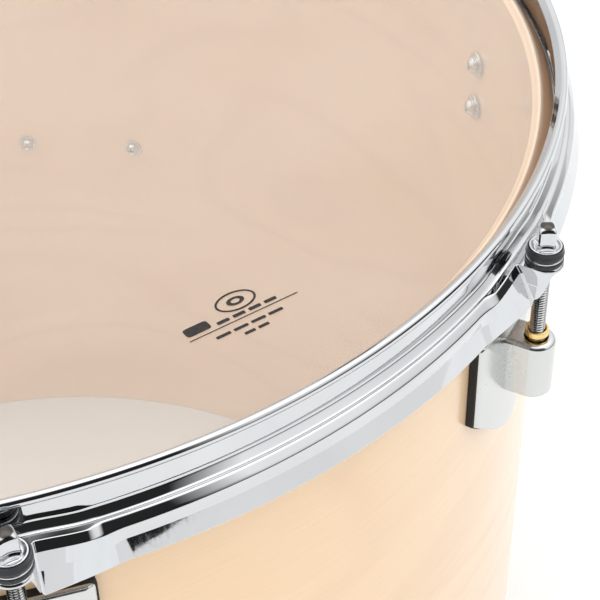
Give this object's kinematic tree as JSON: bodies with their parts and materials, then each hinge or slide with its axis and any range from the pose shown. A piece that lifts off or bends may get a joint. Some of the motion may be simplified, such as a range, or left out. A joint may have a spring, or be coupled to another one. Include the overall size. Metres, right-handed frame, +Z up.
{
  "type": "concert tom drum",
  "caption": "Deep open-bottomed maple drum with a clear head, pressed steel hoop, key-tuned rods in chrome lugs and a clamp bracket for a stand rod.",
  "frame": {"origin": "centre of the shell's open bottom edge, on the drum's axis, in the plane the drum rests on", "axes": "+Z up the drum's axis to the playing head; +X midway between the ears at -22.5 and +22.5 degrees; the stand bracket faces +X +Y at 45 degrees"},
  "size_m": [0.528, 0.528, 0.4196],
  "materials": {
    "maple": "clear satin lacquer over pale maple ply",
    "chrome": "polished chrome plate",
    "clear_film": "clear polyester film",
    "aluminium": "bare rolled channel",
    "black_nylon": "black washer over a polished steel washer",
    "brass": "bright turned brass",
    "black_rubber": "matt moulded rubber",
    "zinc_steel": "zinc plated"
  },
  "bodies": {
    "shell": {"shell": "maple", "bracket_body": "chrome", "bracket_gasket": "black_rubber", "bracket_bolt_1": "zinc_steel", "bracket_bolt_2": "zinc_steel", "bracket_washer_1": "zinc_steel", "bracket_washer_2": "zinc_steel", "lug_casting_1": "chrome", "lug_casting_2": "chrome", "lug_casting_3": "chrome", "lug_casting_4": "chrome", "lug_casting_5": "chrome", "lug_casting_6": "chrome", "lug_casting_7": "chrome", "lug_casting_8": "chrome", "lug_gasket_1": "black_rubber", "lug_gasket_2": "black_rubber", "lug_gasket_3": "black_rubber", "lug_gasket_4": "black_rubber", "lug_gasket_5": "black_rubber", "lug_gasket_6": "black_rubber", "lug_gasket_7": "black_rubber", "lug_gasket_8": "black_rubber", "lug_screw_1": "zinc_steel", "lug_screw_2": "zinc_steel", "lug_screw_3": "zinc_steel", "lug_screw_4": "zinc_steel", "lug_screw_5": "zinc_steel", "lug_screw_6": "zinc_steel", "lug_screw_7": "zinc_steel", "lug_screw_8": "zinc_steel", "swivel_nut_1": "brass", "swivel_nut_2": "brass", "swivel_nut_3": "brass", "swivel_nut_4": "brass", "swivel_nut_5": "brass", "swivel_nut_6": "brass", "swivel_nut_7": "brass", "swivel_nut_8": "brass"},
    "head_and_hoop": {"counter_hoop": "chrome", "drumhead_film": "clear_film", "flesh_hoop": "aluminium", "rod_washer_1": "black_nylon", "rod_washer_2": "black_nylon", "rod_washer_3": "black_nylon", "rod_washer_4": "black_nylon", "rod_washer_5": "black_nylon", "rod_washer_6": "black_nylon", "rod_washer_7": "black_nylon", "rod_washer_8": "black_nylon"},
    "clamp_pad": {"clamp_pad": "zinc_steel"},
    "wing_screw": {"wing_screw": "chrome"},
    "rod_1": {"tension_rod_1": "chrome"},
    "rod_2": {"tension_rod_2": "chrome"},
    "rod_3": {"tension_rod_3": "chrome"},
    "rod_4": {"tension_rod_4": "chrome"},
    "rod_5": {"tension_rod_5": "chrome"},
    "rod_6": {"tension_rod_6": "chrome"},
    "rod_7": {"tension_rod_7": "chrome"},
    "rod_8": {"tension_rod_8": "chrome"}
  },
  "joints": [
    {"name": "hoop_travel", "type": "slide", "parent": "shell", "child": "head_and_hoop", "axis": [0, 0, 1], "range_m": [0, 0.006]},
    {"name": "rod_1_turn", "type": "hinge", "parent": "head_and_hoop", "child": "rod_1", "pos_m": [0.2476, 0.10256, 0.4184], "axis": [0, 0, 1], "range_deg": [0, 2045]},
    {"name": "rod_2_turn", "type": "hinge", "parent": "head_and_hoop", "child": "rod_2", "pos_m": [0.10256, 0.2476, 0.4184], "axis": [0, 0, 1], "range_deg": [0, 2045]},
    {"name": "rod_3_turn", "type": "hinge", "parent": "head_and_hoop", "child": "rod_3", "pos_m": [-0.10256, 0.2476, 0.4184], "axis": [0, 0, 1], "range_deg": [0, 2045]},
    {"name": "rod_4_turn", "type": "hinge", "parent": "head_and_hoop", "child": "rod_4", "pos_m": [-0.2476, 0.10256, 0.4184], "axis": [0, 0, 1], "range_deg": [0, 2045]},
    {"name": "rod_5_turn", "type": "hinge", "parent": "head_and_hoop", "child": "rod_5", "pos_m": [-0.2476, -0.10256, 0.4184], "axis": [0, 0, 1], "range_deg": [0, 2045]},
    {"name": "rod_6_turn", "type": "hinge", "parent": "head_and_hoop", "child": "rod_6", "pos_m": [-0.10256, -0.2476, 0.4184], "axis": [0, 0, 1], "range_deg": [0, 2045]},
    {"name": "rod_7_turn", "type": "hinge", "parent": "head_and_hoop", "child": "rod_7", "pos_m": [0.10256, -0.2476, 0.4184], "axis": [0, 0, 1], "range_deg": [0, 2045]},
    {"name": "rod_8_turn", "type": "hinge", "parent": "head_and_hoop", "child": "rod_8", "pos_m": [0.2476, -0.10256, 0.4184], "axis": [0, 0, 1], "range_deg": [0, 2045]},
    {"name": "clamp_travel", "type": "slide", "parent": "shell", "child": "clamp_pad", "axis": [-0.7071, -0.7071, 0], "range_m": [0, 0.004]},
    {"name": "wing_screw_turn", "type": "hinge", "parent": "clamp_pad", "child": "wing_screw", "pos_m": [0.20506, 0.20506, 0.206], "axis": [-0.7071, -0.7071, 0], "range_deg": [0, 1445]}
  ],
  "couplings": [
    {"joint": "rod_1_turn", "follows": "hoop_travel", "rad_per_m": 5936.9},
    {"joint": "rod_2_turn", "follows": "hoop_travel", "rad_per_m": 5936.9},
    {"joint": "rod_3_turn", "follows": "hoop_travel", "rad_per_m": 5936.9},
    {"joint": "rod_4_turn", "follows": "hoop_travel", "rad_per_m": 5936.9},
    {"joint": "rod_5_turn", "follows": "hoop_travel", "rad_per_m": 5936.9},
    {"joint": "rod_6_turn", "follows": "hoop_travel", "rad_per_m": 5936.9},
    {"joint": "rod_7_turn", "follows": "hoop_travel", "rad_per_m": 5936.9},
    {"joint": "rod_8_turn", "follows": "hoop_travel", "rad_per_m": 5936.9},
    {"joint": "wing_screw_turn", "follows": "clamp_travel", "rad_per_m": 6283.2}
  ]
}
